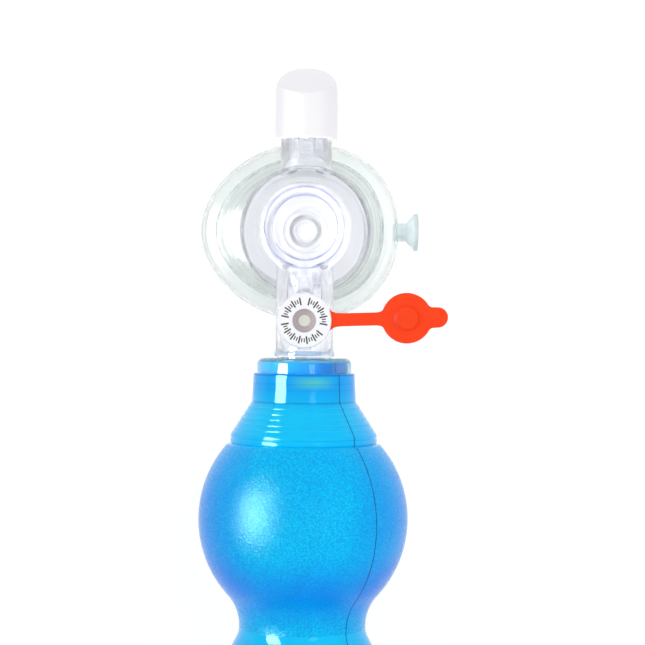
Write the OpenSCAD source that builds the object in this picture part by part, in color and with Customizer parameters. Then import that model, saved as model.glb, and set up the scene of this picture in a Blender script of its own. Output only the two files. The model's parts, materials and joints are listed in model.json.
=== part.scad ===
// Bag valve mask: a hand-squeezed resuscitator with a patient valve, a pressure
// relief valve, a face mask and a rear intake valve. Millimetres, +Z up.
// Origin: centre of the mouth of the patient port. The patient valve's axis is Z.
// The exhaust points along +Y, the bag lies along -Y, and the mask's chin is at +X.

/* [Patient port] */
// Radius of the port's straight inner socket
port_bore_r = 7.7; // [7.6:0.05:7.8]
// Outer radius of the port, which plugs into the mask
port_outer_r = 11; // [10.9:0.05:11.1]
// Length of the inner socket
port_socket_len = 15; // [12:0.5:16]

/* [Patient valve housing] */
// Outer radius of the round lower housing
drum_r = 31.5; // [30:0.5:33]
// Height of the lower housing's underside
drum_bottom_z = 17.4; // [17:0.1:18]
// Height of the lower housing's rim
drum_top_z = 43.4; // [43:0.1:44]
// Outer radius of the dome on top
dome_r = 21.9; // [21:0.1:23]
// Height of the dome's flat top
dome_top_z = 71; // [70.5:0.1:72]
// Wall thickness of the clear housings
shell_wall = 1.8; // [1.5:0.1:2]
// Upward travel of the lip valve
lip_travel = 1.2; // [0.8:0.1:1.2]

/* [Exhaust] */
// Height of the exhaust tube's axis
exhaust_z = 30.4; // [30:0.1:31]
// Outer radius of the exhaust tube
exhaust_r = 12.5; // [12:0.1:12.6]
// Far end of the exhaust tube
exhaust_end_y = 58; // [56:0.5:60]
// Near and far ends of the deflector hood
hood_start_y = 44.7; // [44:0.1:46]
hood_end_y = 81.5; // [79:0.5:82]
// Outer radius of the hood at its near end
hood_r = 15.5; // [15:0.1:16]
// Slope of the hood's slanted end face, in degrees from level
hood_slope = 61; // [50:1:70]

/* [Bag inlet] */
// Height of the inlet tube's axis, which is the bag's axis too
inlet_z = 57.5; // [57:0.1:58]
// Outer radius of the inlet tube
inlet_r = 13.6; // [13:0.1:14]
// End of the inlet tube and start of its spigot
inlet_end_y = -60.4; // [-61:0.1:-59]
// Far end of the spigot
spigot_end_y = -84; // [-86:0.5:-80]
// Radius of the spigot
spigot_r = 12.95; // [12.5:0.05:13]

/* [Pressure relief valve] */
// Distance of the relief valve from the patient valve's axis
popoff_y = -43.5; // [-46:0.5:-42]
// Outer radius of the round label plate
label_r = 12.7; // [12:0.1:13]
// Radius of the recess around the plunger
recess_r = 5.5; // [5:0.1:6]
// Radius of the plunger's stem
plunger_r = 3.1; // [2.8:0.1:3.2]
// Upward travel of the plunger
plunger_travel = 1.6; // [1:0.1:1.6]

/* [Override cap] */
// Angle of the strap, anticlockwise from +X
cap_turn = 1.8; // [0:0.1:4]
// Distance from the relief valve to the cap's centre
cap_reach = 47.7; // [46:0.1:50]
// Radius of the cap
cap_r = 11.8; // [11:0.1:12]
// Radius of the plug on the cap
plug_r = 5.2; // [4.8:0.1:5.2]
// Width of the strap
strap_w = 6.2; // [5:0.1:7]
// Width of the finger tab
tab_w = 9.5; // [8:0.1:11]
// Distance from the relief valve to the tab's end
tab_end = 66.9; // [64:0.1:70]

/* [Squeeze bag] */
// Wall thickness of the bag
bag_wall = 2.2; // [1.8:0.1:2.6]
// Largest radius of the front lobe
lobe_r = 49.5; // [48:0.1:51]
// Smallest radius, at the waist
waist_r = 29.9; // [28:0.1:31]
// Largest radius of the rear lobe
rear_lobe_r = 47; // [45:0.1:48]

/* [Mask] */
// Half width of the mask across the face
mask_half_w = 45.4; // [44:0.1:47]
// How far the nose end reaches past the round part
nose_reach = 7; // [5:0.5:9]
// Height of the sealing plane below the port's mouth
mask_drop = 28; // [26:0.5:30]
// Height of the air cushion
cushion_h = 24; // [22:0.5:26]
// Width of the air cushion
cushion_w = 17; // [15:0.5:18]
// Sideways lean of the soft mask on its collar
mask_lean = 2.3; // [0:0.1:3]

/* [Rear valve] */
// Outer radius of the reservoir port
reservoir_r = 12.5; // [12:0.1:12.5]
// Outer radius of the oxygen nipple's tube
nipple_r = 3.1; // [2.8:0.1:3.3]

/* [Hidden] */
$fn = 64;

run = 0.05;         // radial clearance of a running fit
rest_gap = 0.05;    // gap under a flap or disc that rests on its seat
eps = 0.1;          // overshoot of a cut

// Patient valve
deck_z = drum_top_z - 2.2;             // underside of the lid, inside the drum
drum_in_r = drum_r - shell_wall;
neck_bore_r = 9.55;
neck_top_z = 26.8;
seat_r = 17;
seat_in_r = 15.2;
seat_z = 36;
lip_disc_r = 18.6;
lip_disc_t = 1.1;
lip_top_z = seat_z + rest_gap + lip_disc_t;
skirt_z = lip_top_z + lip_travel + 0.35;
dome_in_r = dome_r - 2;
dome_shoulder = 3.3;
dish_r = 15.4;                          // edge of the shallow dish in the dome's top
inlet_bore_r = 10.9;
spigot_bore_r = 9.9;
exhaust_bore_r = 10.6;

// Pressure relief valve, from its flange up
tower_r = 12;
tower_top_z = 70.6;
strap_z = 72;
strap_t = 1.6;
label_z = strap_z + strap_t;
label_t = 0.8;
label_top_z = label_z + label_t;
popoff_seat_z = 64;
plunger_top_z = 70.9;
hinge_x = cap_reach / 2;
hinge_z = label_top_z - 0.25;
hinge_gap = 0.2;
plug_z = label_z - 0.5;
plug_edge = 0.45;
// The plug stops 0.4 above the raised plunger once the cap is turned over
plug_h = 2 * hinge_z - (plunger_top_z + plunger_travel + 0.4) - plug_z - plug_edge;

// Bag: centres and radii of the arcs of its outline, in [radius, y]
front_lobe_c = [-3.5, -137];
front_lobe_arc = lobe_r - front_lobe_c[0];
waist_y = -187.6;
waist_arc = 22.1;
flare_arc = 11.5;
rear_lobe_c = [9.6, -229.5];
rear_lobe_arc = rear_lobe_r - rear_lobe_c[0];
lobe_a = 42.36;                         // where the front lobe turns into the waist
flare_a = 26.6;
collar_y = -68.2;
lip_y = -63.2;
rear_collar_y = -288.9;
rear_lip_y = -293.9;
ring_y = -61.1;

// Mask
mask_z = -mask_drop;
cushion_mid_z = mask_z + cushion_h / 2;
inflate_z = cushion_mid_z;
chin_x = mask_half_w + 2;
cushion_skin = 1.4;
syringe_r = 2.1;
spring_room_r = 1.6;

// Rear chamber
chamber_start_y = -296.2;
chamber_end_y = -316;
chamber_r = 21.5;
chamber_in_r = 19.7;
plate_t = 1.8;
port_end_y = -329;
intake_y = -268;                        // bag side of the intake valve's plate
nipple_y = -305;

clear = [0.86, 0.90, 0.93, 0.45];
white = [0.96, 0.96, 0.95];
blue = [0.11, 0.66, 0.96, 0.8];
orange = [1.0, 0.32, 0.16];
pvc = [0.80, 0.90, 0.88, 0.5];
silicone = [0.93, 0.93, 0.88];
steel = [0.75, 0.76, 0.78];
rubber = [0.15, 0.15, 0.16];
cream = [0.90, 0.90, 0.78];
mauve = [0.72, 0.66, 0.70];

// ---------- helpers ----------

// Points of an arc, from angle a0 to angle a1
function arc(c, r, a0, a1, n = 16) =
    [for (i = [0:n]) let (a = a0 + (a1 - a0) * i / n) [c[0] + r * cos(a), c[1] + r * sin(a)]];

// A power that keeps the sign
function signed_pow(v, p) = sign(v) * pow(abs(v), p);

// Turns a shape made about Z so that its axis lies along +Y, at a height
module along_y(z) {
    translate([0, 0, z]) rotate([-90, 0, 0]) children();
}

// Turns a shape made about Z so that its axis lies along +X
module along_x(y, z) {
    translate([0, y, z]) rotate([0, 90, 0]) children();
}

// A solid of revolution about Z from points [radius, height]
module turned(points) {
    rotate_extrude() polygon(points);
}

// A straight tube about Z between two heights
module tube(r_out, r_in, h0, h1) {
    turned([[r_in, h0], [r_out, h0], [r_out, h1], [r_in, h1]]);
}

// A solid cylinder about Z between two heights
module rod(r, h0, h1) {
    translate([0, 0, h0]) cylinder(r = r, h = h1 - h0);
}

// Copies round Z
module around(n) {
    for (i = [0:n - 1]) rotate([0, 0, i * 360 / n]) children();
}

// A sector of a tube, centred on the +X direction
module sector(r_out, r_in, h0, h1, angle) {
    rotate([0, 0, -angle / 2])
        translate([0, 0, h0])
            rotate_extrude(angle = angle)
                translate([r_in, 0]) square([r_out - r_in, h1 - h0]);
}

// An O-ring about Z
module o_ring(centre_r, section_r, h) {
    translate([0, 0, h]) rotate_extrude() translate([centre_r, 0]) circle(r = section_r);
}

// Skins closed sections into a ring that closes on itself
module ring_skin(sections) {
    n = len(sections);
    m = len(sections[0]);
    polyhedron(
        points = [for (s = sections) for (p = s) p],
        faces = [for (i = [0:n - 1]) for (j = [0:m - 1])
            [i * m + j, ((i + 1) % n) * m + j,
             ((i + 1) % n) * m + (j + 1) % m, i * m + (j + 1) % m]]);
}

// A round wire along a helix about Z
module coil(mean_r, wire_r, h0, h1, turns, steps = 14, sides = 6) {
    n = turns * steps;
    rise = h1 - h0 - 2 * wire_r;
    sections = [for (i = [0:n])
        let (a = 360 * i / steps, h = h0 + wire_r + rise * i / n)
        [for (j = [0:sides - 1])
            let (b = 360 * j / sides, r = mean_r + wire_r * cos(b))
            [r * cos(a), r * sin(a), h + wire_r * sin(b)]]];
    m = sides;
    polyhedron(
        points = [for (s = sections) for (p = s) p],
        faces = concat(
            [[for (j = [m - 1:-1:0]) j]],
            [for (i = [0:n - 1]) for (j = [0:m - 1])
                [i * m + j, i * m + (j + 1) % m, (i + 1) * m + (j + 1) % m, (i + 1) * m + j]],
            [[for (j = [0:m - 1]) n * m + j]]));
}

// ---------- patient valve ----------

// Clear drum with the swivel neck, the exhaust seat and the exhaust tube
module lower_housing() color(clear) {
    turned([[neck_bore_r, drum_bottom_z], [drum_r - 1, drum_bottom_z], [drum_r, drum_bottom_z + 1],
            [drum_r, drum_top_z], [drum_in_r, drum_top_z], [drum_in_r, drum_bottom_z + shell_wall],
            [13, drum_bottom_z + shell_wall], [13, 25.6], [seat_r, 29.6], [seat_r, seat_z],
            [seat_in_r, seat_z], [seat_in_r, 31.3], [11.5, 27.6], [11.5, neck_top_z],
            [neck_bore_r, neck_top_z]]);
    difference() {
        along_y(exhaust_z) tube(exhaust_r, exhaust_bore_r, 24, exhaust_end_y);
        rod(drum_in_r, drum_bottom_z - eps, drum_top_z + 2);
    }
}

// The exhaust tube's way through the drum wall
module exhaust_way() {
    along_y(exhaust_z) rod(exhaust_bore_r, 22, 40);
}

module lower_housing_open() {
    difference() {
        lower_housing();
        exhaust_way();
    }
}

// Clear lid, dome, inlet tube, spigot and relief valve tower in one moulding
module upper_housing() color(clear) {
    difference() {
        union() {
            turned(concat(
                [[13.5, skirt_z], [15, skirt_z], [15, deck_z], [drum_in_r - run, deck_z],
                 [drum_in_r - run, drum_top_z], [drum_r, drum_top_z], [drum_r, drum_top_z + 0.7],
                 [drum_r - 0.6, drum_top_z + 1.2], [dome_r, drum_top_z + 1.2]],
                arc([dome_r - dome_shoulder, dome_top_z - dome_shoulder], dome_shoulder, 0, 90, 8),
                [[dish_r, dome_top_z], [dish_r - 1.2, dome_top_z - 1.1], [0, dome_top_z - 1.1],
                 [0, dome_top_z - 2.9], [dome_in_r - 2, dome_top_z - 2.9],
                 [dome_in_r, dome_top_z - 4.9], [dome_in_r, drum_top_z + 1.2], [13.5, drum_top_z + 1.2]]));
            difference() {
                union() {
                    along_y(inlet_z) turned([[0, inlet_end_y], [14.3, inlet_end_y],
                        [14.3, inlet_end_y + 1], [inlet_r, inlet_end_y + 3.4], [inlet_r, -15], [0, -15]]);
                    translate([0, popoff_y, 0]) rod(tower_r, inlet_z, tower_top_z);
                }
                rod(dome_in_r, drum_top_z + 1.2, dome_top_z - 2.95);
            }
            along_y(inlet_z) rod(spigot_r, spigot_end_y, inlet_end_y + 1);
        }
        along_y(inlet_z) rod(inlet_bore_r, -57, -14);
        along_y(inlet_z) rod(spigot_bore_r, spigot_end_y - eps, -56);
        along_y(inlet_z) tube(spigot_r + 1, spigot_r - 1.55, -80.8, -79.2);
        translate([0, popoff_y, 0]) rod(6.5, inlet_z, tower_top_z + eps);
        translate([0, popoff_y, 0]) rod(tower_r + 1, tower_top_z, dome_top_z + 1);
    }
}

// Castellated ring that keeps the lip valve centred
module diaphragm_retainer() color(white) {
    tube(21.4, 19.2, 38.6, deck_z);
    around(6) sector(21.2, 19.2, 34.6, 38.7, 18);
}

// Silicone disc with a duckbill that opens towards the patient
module lip_valve() color(silicone) {
    tube(lip_disc_r, 8.2, seat_z + rest_gap, lip_top_z);
    difference() {
        hull() {
            translate([0, 0, 34]) cylinder(r = 9.4, h = seat_z + 0.5 - 34, $fn = 32);
            translate([-8.2, -1.1, 29.2]) cube([16.4, 2.2, 0.4]);
        }
        hull() {
            translate([0, 0, 34]) cylinder(r = 8.2, h = 4, $fn = 32);
            translate([-7.2, -0.25, 28.9]) cube([14.4, 0.5, 0.4]);
        }
    }
}

// Patient connector: 15 mm socket inside, 22 mm plug outside, swivelling neck above
module patient_connector() color(clear) {
    turned([[port_bore_r, 0], [port_outer_r - 0.4, 0], [port_outer_r, 0.6], [port_outer_r, 16.4],
            [12.2, 16.4], [12.2, drum_bottom_z - 0.2], [neck_bore_r - run, drum_bottom_z - 0.2],
            [neck_bore_r - run, 20.9], [7.95, 20.9], [7.95, 22.5], [neck_bore_r - run, 22.5],
            [neck_bore_r - run, neck_top_z + 0.3], [10.2, neck_top_z + 0.3], [10, 28],
            [7, 28], [7, port_socket_len + 0.7], [port_bore_r, port_socket_len]]);
}

module connector_oring() color(rubber) o_ring(8.73, 0.75, 21.7);

// ---------- exhaust ----------

// Cage in the exhaust tube: a ring, twelve bars and the flap's seat plate
module exhaust_cage() color(clear) {
    along_y(exhaust_z) difference() {
        turned([[9, 36], [exhaust_bore_r - run, 36], [exhaust_bore_r - run, 47.4], [0, 47.4],
                [0, 46], [9, 46]]);
        rod(1.1, 45, 48);
        around(12) translate([8, -1.35, 38]) cube([4, 2.7, 7.8]);
        around(6) translate([6.2, 0, 45]) cylinder(r = 2.3, h = 3);
    }
}

// Silicone flap that opens outwards
module exhaust_flap() color(silicone) {
    along_y(exhaust_z) {
        rod(9.4, 47.4 + rest_gap, 48.3);
        rod(1, 43.6, 47.5);
        turned([[0, 43], [1.1, 43], [1.6, 44.5], [0, 44.5]]);
    }
}

// Plan outline of the hood: straight sides and a rounded far end
function hood_outline(half, near_y, far_y) =
    let (centre_y = 64.5, depth = far_y - centre_y)
    concat(
        [[-half, near_y], [half, near_y]],
        [for (a = [0:7.5:180])
            [half * signed_pow(cos(a), 0.8), centre_y + depth * pow(sin(a), 0.8)]]);

// The hood's form, inset by a wall: a round barrel above and a straight-sided outlet
// below, both under the slanted end face
module hood_form(inset) {
    near_y = inset > 0 ? exhaust_end_y + 0.2 : hood_start_y;
    far_y = hood_end_y - inset;
    face_top_z = exhaust_z + 15 - inset / cos(hood_slope);
    intersection() {
        union() {
            intersection() {
                along_y(exhaust_z)
                    turned([[0, near_y], [hood_r - inset, near_y], [14.9 - inset, 80], [0, 80]]);
                linear_extrude(60) polygon(hood_outline(15.2 - inset, near_y - 1, far_y));
            }
            translate([0, 0, exhaust_z - 15.6 - inset])
                linear_extrude(15.6 + inset + 1) polygon(hood_outline(14.6 - inset, 61 + inset, far_y));
        }
        translate([0, 66.4, face_top_z]) rotate([-hood_slope, 0, 0])
            translate([-30, -80, -80]) cube([60, 160, 80]);
    }
}

// White hood that turns the exhaled gas downwards
module exhaust_deflector() color(white) {
    difference() {
        hood_form(0);
        hood_form(1.6);
        along_y(exhaust_z) rod(exhaust_r + run, hood_start_y - eps, exhaust_end_y + 0.3);
    }
}

// ---------- pressure relief valve ----------

module popoff_body() color(white) {
    translate([0, popoff_y, 0])
        turned([[3.6, 62.6], [6.45, 62.6], [6.45, tower_top_z], [tower_r, tower_top_z],
                [tower_r, strap_z], [9.5, strap_z], [9.5, label_z], [recess_r, label_z],
                [recess_r, 69.4], [5.1, 69.4], [5.1, popoff_seat_z], [3.6, popoff_seat_z]]);
}

module popoff_plunger() color(silicone) {
    translate([0, popoff_y, 0])
        turned([[0, popoff_seat_z + rest_gap], [4.6, popoff_seat_z + rest_gap], [4.6, 65.1],
                [plunger_r, 65.2], [plunger_r, plunger_top_z - 0.5],
                [plunger_r - 0.5, plunger_top_z], [0, plunger_top_z]]);
}

module popoff_spring() color(steel) {
    translate([0, popoff_y, 0]) coil(4.05, 0.35, 65.25, 69.35, 4);
}

module popoff_retainer() color(mauve) {
    translate([0, popoff_y, 0]) tube(recess_r - run, plunger_r + 0.08, 69.45, 70.4);
}

// Round plate that the scale marks are printed on
module popoff_label() color(white) {
    translate([0, popoff_y, 0])
        turned([[recess_r, label_z], [label_r - 0.3, label_z], [label_r, label_z + 0.3],
                [label_r - 0.3, label_top_z], [recess_r, label_top_z]]);
}

// Places a shape at the relief valve, turned to the strap's angle
module at_strap() {
    translate([0, popoff_y, 0]) rotate([0, 0, cap_turn]) children();
}

// Ring and inner half of the override cap's strap
module cap_strap() color(orange) {
    at_strap() {
        tube(12.3, 9.6, strap_z + rest_gap, label_z - rest_gap);
        translate([0, 0, strap_z + rest_gap]) linear_extrude(strap_t - 2 * rest_gap)
            polygon([[11.2, -4.8], [12.6, -4.4], [15.4, -strap_w / 2], [hinge_x - hinge_gap, -strap_w / 2],
                     [hinge_x - hinge_gap, strap_w / 2], [15.4, strap_w / 2], [12.6, 4.4], [11.2, 4.8]]);
    }
}

// Outer half of the strap, the cap, its plug and its finger tab
module override_cap() color(orange) {
    at_strap() {
        translate([0, 0, strap_z + rest_gap]) {
            translate([hinge_x + hinge_gap, -strap_w / 2, 0])
                cube([cap_reach - hinge_x - 6, strap_w, strap_t - 2 * rest_gap]);
            translate([cap_reach, 0, 0]) cylinder(r = cap_r, h = strap_t - 2 * rest_gap);
            translate([cap_reach + 6, -tab_w / 2, 0])
                cube([tab_end - tab_w / 2 - cap_reach - 6, tab_w, strap_t - 2 * rest_gap]);
            translate([tab_end - tab_w / 2, 0, 0]) cylinder(r = tab_w / 2, h = strap_t - 2 * rest_gap);
        }
        translate([cap_reach, 0, plug_z])
            turned([[0, 0], [plug_r, 0], [plug_r, plug_h], [plug_r - 0.5, plug_h + plug_edge],
                    [0, plug_h + plug_edge]]);
    }
}

// ---------- bag and its front neck ----------

module inlet_oring() color(rubber) {
    along_y(inlet_z) o_ring(spigot_r - 0.78, 0.75, -80);
}

// Sleeve inside the bag's neck, with three lugs that lock it
module bag_connector() color(cream) {
    along_y(inlet_z) {
        turned([[spigot_r + run, lip_y], [19, lip_y], [19, -88], [17.2, -88], [17.2, lip_y - 2.4],
                [14.8, lip_y - 2.4], [14.8, -86], [spigot_r + run, -86]]);
        rotate([0, 0, -78.5]) around(3) sector(21.4, 18.9, -74.4, -70.1, 58);
    }
}

// Clear ring that closes a neck of the bag; the hole's radius is given
module bag_ring(hole_r) {
    shoulder = 3;
    along_y(inlet_z)
        turned(concat([[hole_r, ring_y - 1.9], [hole_r, ring_y]],
                      arc([22.3 - shoulder, ring_y - shoulder], shoulder, 90, 0, 6),
                      [[22.3, ring_y - 6.9], [20.7, ring_y - 6.9], [20.7, ring_y - 1.9]]));
}

module neck_ring() color(clear) bag_ring(spigot_r + 0.3);

// The bag's outline, inset by a wall, from the front collar to the rear collar
function bag_lobes(w, a_front, a_rear, a_rear2) = concat(
    arc(front_lobe_c, front_lobe_arc - w, a_front, -lobe_a, 18),
    arc([waist_r + waist_arc, waist_y], waist_arc + w, 180 - lobe_a, 180, 8),
    arc([waist_r + flare_arc, waist_y], flare_arc + w, 180, 180 + flare_a, 5),
    arc(rear_lobe_c, rear_lobe_arc - w, a_rear, -a_rear2, 16));

module squeeze_bag() color(blue) {
    outer = concat(
        [[20.6, lip_y], [20.6, collar_y], [23.4, collar_y], [23.9, collar_y - 0.6],
         [24.6, -81.7], [34.3, -96.8], [34.6, -97.4], [34.5, -100.4]],
        bag_lobes(0, 41.6, 44.7, 46.2),
        [[34.5, -257], [34.6, -260], [34.3, -260.6], [24.6, -275.4], [23.9, rear_collar_y + 0.6],
         [23.4, rear_collar_y], [20.6, rear_collar_y], [20.6, rear_lip_y]]);
    inner = concat(
        [[19.05, lip_y], [19.05, -67.4], [22, -69.6], [22.4, -81.2], [32.3, -96.8], [32.3, -101.6]],
        bag_lobes(bag_wall, 39.6, 42, 43.8),
        [[32.3, -255.5], [32.3, -260], [22.4, -276], [22, rear_collar_y + 1.4],
         [19.05, rear_collar_y - 0.8], [19.05, rear_lip_y]]);
    inner_back = [for (i = [len(inner) - 1:-1:0]) inner[i]];
    along_y(inlet_z) turned(concat(outer, inner_back));
}

// ---------- rear valve ----------

// Sleeve in the rear neck with the intake valve's seat plate
module intake_housing() color(white) {
    along_y(inlet_z) {
        tube(19, 16.8, -299, intake_y - 1);
        difference() {
            rod(19, intake_y - 2, intake_y);
            rod(1.3, intake_y - 3, intake_y + 1);
            around(8) translate([9, 0, intake_y - 3]) cylinder(r = 2.7, h = 4);
        }
    }
}

// Silicone disc that lets air into the bag
module intake_flap() color(silicone) {
    along_y(inlet_z) {
        rod(13.4, intake_y + rest_gap, intake_y + 0.95);
        rod(1.2, intake_y - 3.6, intake_y + 0.2);
        turned([[0, intake_y - 5.6], [1.2, intake_y - 5.6], [2, intake_y - 3.6], [0, intake_y - 3.6]]);
    }
}

module rear_ring() color(clear) {
    translate([0, rear_collar_y + collar_y, 0]) mirror([0, 1, 0]) bag_ring(19.3);
}

// Cup with the reservoir port, the air holes and the seats of the nipple and overflow
module reservoir_chamber() color(clear) {
    difference() {
        union() {
            along_y(inlet_z) {
                turned([[19.05, chamber_start_y], [19.05, -299], [chamber_in_r, -299.4],
                        [chamber_in_r, chamber_end_y + plate_t], [reservoir_r, chamber_end_y + plate_t],
                        [reservoir_r, chamber_end_y + 6], [10.7, chamber_end_y + 6], [10.7, port_end_y],
                        [reservoir_r, port_end_y], [reservoir_r, chamber_end_y],
                        [chamber_r - 1, chamber_end_y], [chamber_r, chamber_end_y + 1],
                        [chamber_r, chamber_start_y]]);
            }
            difference() {
                union() {
                    along_x(nipple_y, inlet_z) rod(6, 19, 24);
                    along_x(nipple_y, inlet_z) rod(8.4, -26, -18.5);
                }
                along_y(inlet_z) rod(chamber_in_r, chamber_end_y, chamber_start_y);
            }
        }
        along_x(nipple_y, inlet_z) rod(4, 15, 25);
        along_x(nipple_y, inlet_z) rod(7, -27, -22.2);
        along_x(nipple_y, inlet_z) rod(1.1, -23, -15);
        along_x(nipple_y, inlet_z) around(6) translate([4.2, 0, -23]) cylinder(r = 1.5, h = 9);
        along_y(inlet_z) around(8) translate([16, 0, chamber_end_y - 1]) cylinder(r = 1.7, h = 4);
    }
}

// Ring-shaped flap that lets room air in when the reservoir is empty
module air_inlet_flap() color(silicone) {
    along_y(inlet_z)
        tube(18.6, reservoir_r + 0.1, chamber_end_y + plate_t + rest_gap, chamber_end_y + plate_t + 0.85);
}

// Small flap that lets surplus oxygen out
module overflow_flap() color(silicone) {
    along_x(nipple_y, inlet_z) {
        rod(6.3, -23, -22.2 - rest_gap);
        rod(1, -22.3, -18.4);
        turned([[0, -18.4], [1.7, -18.4], [1.1, -16.8], [0, -16.8]]);
    }
}

// Slotted cap over the overflow flap
module overflow_guard() color(white) {
    along_x(nipple_y, inlet_z) {
        difference() {
            rod(6.95, -26.6, -25);
            around(4) translate([3.4, 0, -27]) cylinder(r = 1.6, h = 3);
        }
        tube(6.95, 6.5, -25.1, -24.4);
    }
}

// Tapered hose tail for the oxygen tube
module oxygen_nipple() color(clear) {
    along_x(nipple_y, inlet_z)
        turned([[1.5, 18], [3.95, 18], [3.95, 24], [6, 24], [6, 25.6], [nipple_r, 25.6],
                [nipple_r, 35.4], [nipple_r - 0.5, 35.8], [nipple_r - 0.5, 36.6], [nipple_r - 0.1, 36.8],
                [nipple_r - 0.6, 38.6], [nipple_r - 0.6, 38.9], [nipple_r - 0.2, 39.1],
                [2.4, 41], [1.5, 41]]);
}

// ---------- mask ----------

// Plan radius of the mask at an angle from the chin
function mask_radius(a) =
    mask_half_w + 2 * pow(cos(a), 2) + 1.3 * pow(sin(2 * a), 2)
    + nose_reach * pow(max(0, -cos(a)), 6);

// A point at a plan radius and height, about the mask's own centre
function mask_point(a, r, z) = [r * cos(a), mask_lean + r * sin(a), z];

// Stiff collar that plugs onto the patient connector
module mask_collar() color(pvc) {
    tube(13.4, port_outer_r + 0.08, 1, 16);
}

// Sections of the soft dome, from its collar to the cushion and back underneath
function dome_section(a) =
    let (rim_r = mask_radius(a) - cushion_w / 2, n = 6)
    concat(
        [for (i = [0:n]) let (t = 90 * i / n)
            [(13.4 + (rim_r - 13.4) * sin(t)) * cos(a),
             mask_lean * sin(t) + (13.4 + (rim_r - 13.4) * sin(t)) * sin(a),
             -4.6 + 10 * cos(t)]],
        [for (i = [n:-1:0]) let (t = 90 * i / n)
            [(13.4 + (rim_r - 15.6) * sin(t)) * cos(a),
             mask_lean * sin(t) + (13.4 + (rim_r - 15.6) * sin(t)) * sin(a),
             -6.8 + 10 * cos(t)]]);

module mask_dome() color(pvc) {
    ring_skin([for (i = [0:47]) dome_section(i * 7.5)]);
}

// One section of the cushion, inset by its skin, flat where it meets the face
function cushion_section(a, skin, n) =
    let (mid_r = mask_radius(a) - cushion_w / 2, half_w = cushion_w / 2 - skin,
         half_h = cushion_h / 2 - skin)
    [for (j = [0:n - 1])
        let (b = 360 * (j + 0.5) / n,
             u = half_w * signed_pow(cos(b), 0.85), v = half_h * signed_pow(sin(b), 0.85))
        mask_point(a, mid_r + u, cushion_mid_z + max(v, -half_h * 0.96) * (v < 0 ? 1 / 0.96 : 1))];

module mask_cushion() color(pvc) {
    difference() {
        ring_skin([for (i = [0:47]) cushion_section(-i * 7.5, 0, 16)]);
        ring_skin([for (i = [0:35]) cushion_section(-i * 10, cushion_skin, 8)]);
        along_x(mask_lean, inflate_z) rod(4.8, chin_x - 5, chin_x + 3);
    }
}

module inflation_neck() color(pvc) {
    along_x(mask_lean, inflate_z) tube(4.7, 3, chin_x - 2.4, 51.2);
}

// Flared inflation valve body with a syringe socket
module inflation_bell() color(white) {
    along_x(mask_lean, inflate_z)
        turned([[1.2, 46.6], [2.95, 46.6], [2.95, 51.3], [5.6, 51.3], [8.8, 54.6], [9.6, 55],
                [9.6, 57.1], [syringe_r, 57.1], [syringe_r, 52.4], [spring_room_r, 52.4],
                [spring_room_r, 47.7], [1.2, 47.7]]);
}

// Sprung valve pin that a syringe tip pushes in
module inflation_core() color(steel) {
    along_x(mask_lean, inflate_z)
        turned([[0, 45.6], [2.2, 45.6], [2.2, 46.5], [1.1, 46.5], [1.1, 51.4], [1.55, 51.4],
                [1.55, 52.1], [0, 52.1]]);
}

module inflation_spring() color(steel) {
    along_x(mask_lean, inflate_z) coil(1.38, 0.14, 47.75, 51.35, 5, 12);
}

lower_housing_open();  // lower_housing
upper_housing();
diaphragm_retainer();
lip_valve();
patient_connector();
connector_oring();
exhaust_cage();
exhaust_flap();
exhaust_deflector();
popoff_body();
popoff_plunger();
popoff_spring();
popoff_retainer();
popoff_label();
cap_strap();
override_cap();
inlet_oring();
bag_connector();
neck_ring();
squeeze_bag();
intake_housing();
intake_flap();
rear_ring();
reservoir_chamber();
air_inlet_flap();
overflow_flap();
overflow_guard();
oxygen_nipple();
mask_collar();
mask_dome();
mask_cushion();
inflation_neck();
inflation_bell();
inflation_core();
inflation_spring();
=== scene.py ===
"""Bag valve mask: detailed meshes, materials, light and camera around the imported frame."""

import json
import math

import bmesh
import bpy
from mathutils import Matrix, Vector


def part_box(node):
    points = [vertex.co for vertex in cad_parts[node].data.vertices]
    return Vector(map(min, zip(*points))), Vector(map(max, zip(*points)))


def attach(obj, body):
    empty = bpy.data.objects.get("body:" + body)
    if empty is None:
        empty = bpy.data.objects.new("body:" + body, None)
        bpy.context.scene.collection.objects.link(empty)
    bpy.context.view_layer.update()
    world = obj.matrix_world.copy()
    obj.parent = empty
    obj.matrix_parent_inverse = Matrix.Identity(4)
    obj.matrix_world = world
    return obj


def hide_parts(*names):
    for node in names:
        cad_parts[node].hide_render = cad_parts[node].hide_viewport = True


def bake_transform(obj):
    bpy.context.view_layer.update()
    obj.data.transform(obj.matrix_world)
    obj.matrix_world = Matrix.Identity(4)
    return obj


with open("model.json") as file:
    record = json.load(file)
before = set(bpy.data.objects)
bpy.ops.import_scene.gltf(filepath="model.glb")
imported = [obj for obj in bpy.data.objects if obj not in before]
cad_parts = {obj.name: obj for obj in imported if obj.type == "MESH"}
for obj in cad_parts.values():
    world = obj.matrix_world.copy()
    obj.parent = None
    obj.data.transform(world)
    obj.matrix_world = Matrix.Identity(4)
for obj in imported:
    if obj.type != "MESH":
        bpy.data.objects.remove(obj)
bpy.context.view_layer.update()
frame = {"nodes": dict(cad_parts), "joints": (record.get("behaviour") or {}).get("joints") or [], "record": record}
NODES = frame["nodes"]
MM = 0.001


# ---------- places read from the frame ----------

def centre_of(node):
    """Middle of a CAD node's box."""
    low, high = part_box(node)
    return (low + high) / 2


bag_low, bag_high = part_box("squeeze_bag")
mask_low, mask_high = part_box("mask_cushion")
lip_low, lip_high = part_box("lip_valve")
strap_low, strap_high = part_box("cap_strap")
bell_low, bell_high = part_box("inflation_bell")
label_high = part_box("popoff_label")[1]
cap_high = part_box("override_cap")[1]
collar_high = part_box("mask_collar")[1]
JOINTS = {j["name"]: j for j in frame["joints"]}

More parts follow.
